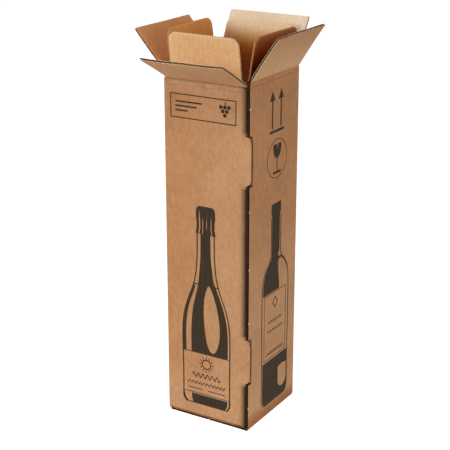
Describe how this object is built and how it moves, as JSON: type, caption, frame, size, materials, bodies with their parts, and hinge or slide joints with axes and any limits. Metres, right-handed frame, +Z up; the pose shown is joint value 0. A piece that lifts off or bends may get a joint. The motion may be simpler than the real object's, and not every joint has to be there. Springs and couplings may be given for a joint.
{
  "type": "wine shipping box",
  "caption": "Tall square corrugated kraft shipping box for a wine bottle, with an inner sleeve and two layers of hinged top flaps standing open.",
  "frame": {"origin": "middle of the carton's base, on the floor", "axes": "+Z up, -Y out of the printed front wall with the wide bottle, +X out of the right wall with the arrows"},
  "size_m": [0.1881, 0.1974, 0.4814],
  "materials": {
    "carton_board": "matte brown kraft corrugated board",
    "flap_board": "matte brown kraft corrugated board",
    "sleeve_board": "matte brown kraft corrugated board"
  },
  "bodies": {
    "box": {"outer_carton": "carton_board", "inner_sleeve": "sleeve_board"},
    "front_flap": {"front_flap": "flap_board"},
    "left_flap": {"left_flap": "flap_board"},
    "back_flap": {"back_flap": "flap_board"},
    "right_flap": {"right_flap": "flap_board"},
    "front_inner_flap": {"front_inner_flap": "sleeve_board"},
    "left_inner_flap": {"left_inner_flap": "sleeve_board"},
    "back_inner_flap": {"back_inner_flap": "sleeve_board"},
    "right_inner_flap": {"right_inner_flap": "sleeve_board"}
  },
  "joints": [
    {"name": "front_flap_fold", "type": "hinge", "parent": "box", "child": "front_flap", "pos_m": [0, -0.05815, 0.423], "axis": [1, 0, 0], "range_deg": [-47.5, 114.5]},
    {"name": "left_flap_fold", "type": "hinge", "parent": "box", "child": "left_flap", "pos_m": [-0.05815, 0, 0.429], "axis": [0, -1, 0], "range_deg": [-30.5, 132.5]},
    {"name": "back_flap_fold", "type": "hinge", "parent": "box", "child": "back_flap", "pos_m": [0, 0.05815, 0.429], "axis": [-1, 0, 0], "range_deg": [-1.5, 144.5]},
    {"name": "right_flap_fold", "type": "hinge", "parent": "box", "child": "right_flap", "pos_m": [0.05815, 0, 0.429], "axis": [0, 1, 0], "range_deg": [-20, 142]},
    {"name": "front_inner_flap_fold", "type": "hinge", "parent": "box", "child": "front_inner_flap", "pos_m": [-0.0016, -0.05085, 0.42], "axis": [-1, 0, 0], "range_deg": [-2.5, 188]},
    {"name": "left_inner_flap_fold", "type": "hinge", "parent": "box", "child": "left_inner_flap", "pos_m": [-0.05085, 0, 0.426], "axis": [0, 1, 0], "range_deg": [-2.5, 186.5]},
    {"name": "back_inner_flap_fold", "type": "hinge", "parent": "box", "child": "back_inner_flap", "pos_m": [-0.0016, 0.05085, 0.426], "axis": [1, 0, 0], "range_deg": [-1, 198]},
    {"name": "right_inner_flap_fold", "type": "hinge", "parent": "box", "child": "right_inner_flap", "pos_m": [0.04765, 0, 0.426], "axis": [0, -1, 0], "range_deg": [-2.5, 189]}
  ]
}
